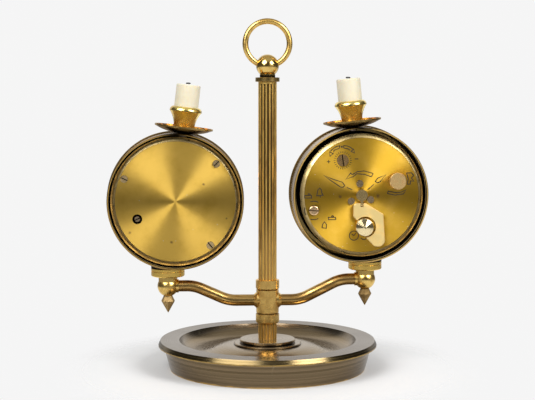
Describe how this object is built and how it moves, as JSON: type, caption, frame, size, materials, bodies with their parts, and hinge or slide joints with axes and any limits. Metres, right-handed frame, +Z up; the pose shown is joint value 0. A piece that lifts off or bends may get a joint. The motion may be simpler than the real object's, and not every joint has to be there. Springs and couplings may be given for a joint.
{
  "type": "barometer clock",
  "caption": "Brass desk stand with a dished round base, fluted column, ring handle and curved arms that carry an aneroid barometer and an alarm clock, each topped by a small candle.",
  "frame": {"origin": "centre of the foot, where the base stands on the desk", "axes": "+Z up along the column; -X towards the barometer, +X towards the clock; dials face +Y, backs of the drums face -Y"},
  "size_m": [0.21, 0.1432, 0.2282],
  "materials": {
    "bronze": "antique patina",
    "brass": "aged satin",
    "polished_brass": "polished",
    "plate_brass": "circular brushed",
    "copper": "satin",
    "nickel": "polished",
    "steel": "plain",
    "glass": "clear",
    "dial_enamel": "matt",
    "hand_black": "satin",
    "candle_wax": "wax",
    "felt": "felt"
  },
  "bodies": {
    "stand": {"base_dish": "bronze", "felt_pad": "felt", "base_nut": "steel", "hub_plate": "bronze", "fluted_column": "brass", "tie_rod": "steel", "column_collars": "brass", "capital_ring": "brass", "top_ball": "polished_brass", "handle_ring": "brass"},
    "arms": {"cross_sleeve": "brass", "barometer_arm": "brass", "clock_arm": "brass", "arm_balls": "polished_brass"},
    "barometer": {"barometer_saddle": "polished_brass", "barometer_finial": "polished_brass", "barometer_drum": "brass", "barometer_bezel": "polished_brass", "barometer_glass": "glass", "barometer_dial": "dial_enamel", "barometer_case": "plate_brass", "barometer_back_plate": "plate_brass", "barometer_plate_screws": "steel", "barometer_pan": "polished_brass", "barometer_cup": "polished_brass", "barometer_candle": "candle_wax", "barometer_candle_screw": "steel", "aneroid_plate": "plate_brass", "aneroid_capsule": "steel", "aneroid_spring": "steel", "aneroid_bridge": "plate_brass"},
    "needle": {"barometer_needle": "hand_black"},
    "marker": {"barometer_marker": "polished_brass"},
    "adjuster": {"adjusting_screw": "steel"},
    "clock": {"clock_saddle": "polished_brass", "clock_finial": "polished_brass", "clock_drum": "brass", "clock_bezel": "polished_brass", "clock_glass": "glass", "clock_dial": "dial_enamel", "clock_case": "plate_brass", "clock_back_plate": "plate_brass", "clock_plate_screws": "steel", "clock_pan": "polished_brass", "clock_cup": "polished_brass", "clock_candle": "candle_wax", "clock_candle_screw": "steel", "movement_frame": "plate_brass", "mainspring_barrel": "plate_brass", "winding_arbor": "steel"},
    "key": {"winding_key": "plate_brass"},
    "regulator": {"regulator_screw": "steel"},
    "alarm_setter": {"alarm_knob": "copper"},
    "alarm_switch": {"alarm_button": "steel"},
    "time_setter": {"time_knob": "nickel"},
    "minute": {"minute_hand": "hand_black"},
    "hour": {"hour_hand": "hand_black"},
    "motion_wheel": {"minute_wheel": "plate_brass"},
    "alarm": {"alarm_hand": "plate_brass"}
  },
  "joints": [
    {"name": "arm_swivel", "type": "hinge", "parent": "stand", "child": "arms", "pos_m": [0, 0, 0.0447], "axis": [0, 0, 1], "continuous": true},
    {"name": "barometer_swivel", "type": "hinge", "parent": "arms", "child": "barometer", "pos_m": [-0.0651, 0, 0.0545], "axis": [0, 0, 1], "continuous": true},
    {"name": "clock_swivel", "type": "hinge", "parent": "arms", "child": "clock", "pos_m": [0.0642, 0, 0.0581], "axis": [0, 0, 1], "continuous": true},
    {"name": "needle_turn", "type": "hinge", "parent": "barometer", "child": "needle", "pos_m": [-0.05989, 0, 0.11039], "axis": [0, -1, 0], "range_deg": [-135, 135]},
    {"name": "marker_turn", "type": "hinge", "parent": "barometer", "child": "marker", "pos_m": [-0.05989, 0, 0.11039], "axis": [0, -1, 0], "continuous": true},
    {"name": "adjusting_screw_turn", "type": "hinge", "parent": "barometer", "child": "adjuster", "pos_m": [-0.08448, 0, 0.09924], "axis": [0, -1, 0], "range_deg": [-180, 180]},
    {"name": "minute_turn", "type": "hinge", "parent": "clock", "child": "minute", "pos_m": [0.06071, 0, 0.11409], "axis": [0, -1, 0], "continuous": true},
    {"name": "hour_turn", "type": "hinge", "parent": "clock", "child": "hour", "pos_m": [0.06071, 0, 0.11409], "axis": [0, -1, 0], "continuous": true},
    {"name": "minute_wheel_turn", "type": "hinge", "parent": "clock", "child": "motion_wheel", "pos_m": [0.05271, 0, 0.11409], "axis": [0, -1, 0], "continuous": true},
    {"name": "time_knob_turn", "type": "hinge", "parent": "clock", "child": "time_setter", "pos_m": [0.06231, 0, 0.09349], "axis": [0, -1, 0], "continuous": true},
    {"name": "alarm_turn", "type": "hinge", "parent": "clock", "child": "alarm", "pos_m": [0.06071, 0, 0.11409], "axis": [0, -1, 0], "continuous": true},
    {"name": "alarm_knob_turn", "type": "hinge", "parent": "clock", "child": "alarm_setter", "pos_m": [0.08361, 0, 0.12339], "axis": [0, -1, 0], "continuous": true},
    {"name": "regulator_turn", "type": "hinge", "parent": "clock", "child": "regulator", "pos_m": [0.04831, 0, 0.13669], "axis": [0, -1, 0], "range_deg": [-40, 40]},
    {"name": "alarm_button_pull", "type": "slide", "parent": "clock", "child": "alarm_switch", "axis": [0, -1, 0], "range_m": [0, 0.0025]},
    {"name": "key_fold", "type": "hinge", "parent": "clock", "child": "key", "pos_m": [0.06071, -0.0102, 0.10789], "axis": [-1, 0, 0], "range_deg": [0, 90]}
  ],
  "couplings": [
    {"joint": "hour_turn", "follows": "minute_turn", "ratio": 0.083333},
    {"joint": "minute_wheel_turn", "follows": "minute_turn", "ratio": -0.33333},
    {"joint": "time_knob_turn", "follows": "minute_turn", "ratio": -3},
    {"joint": "alarm_knob_turn", "follows": "alarm_turn", "ratio": -2}
  ]
}
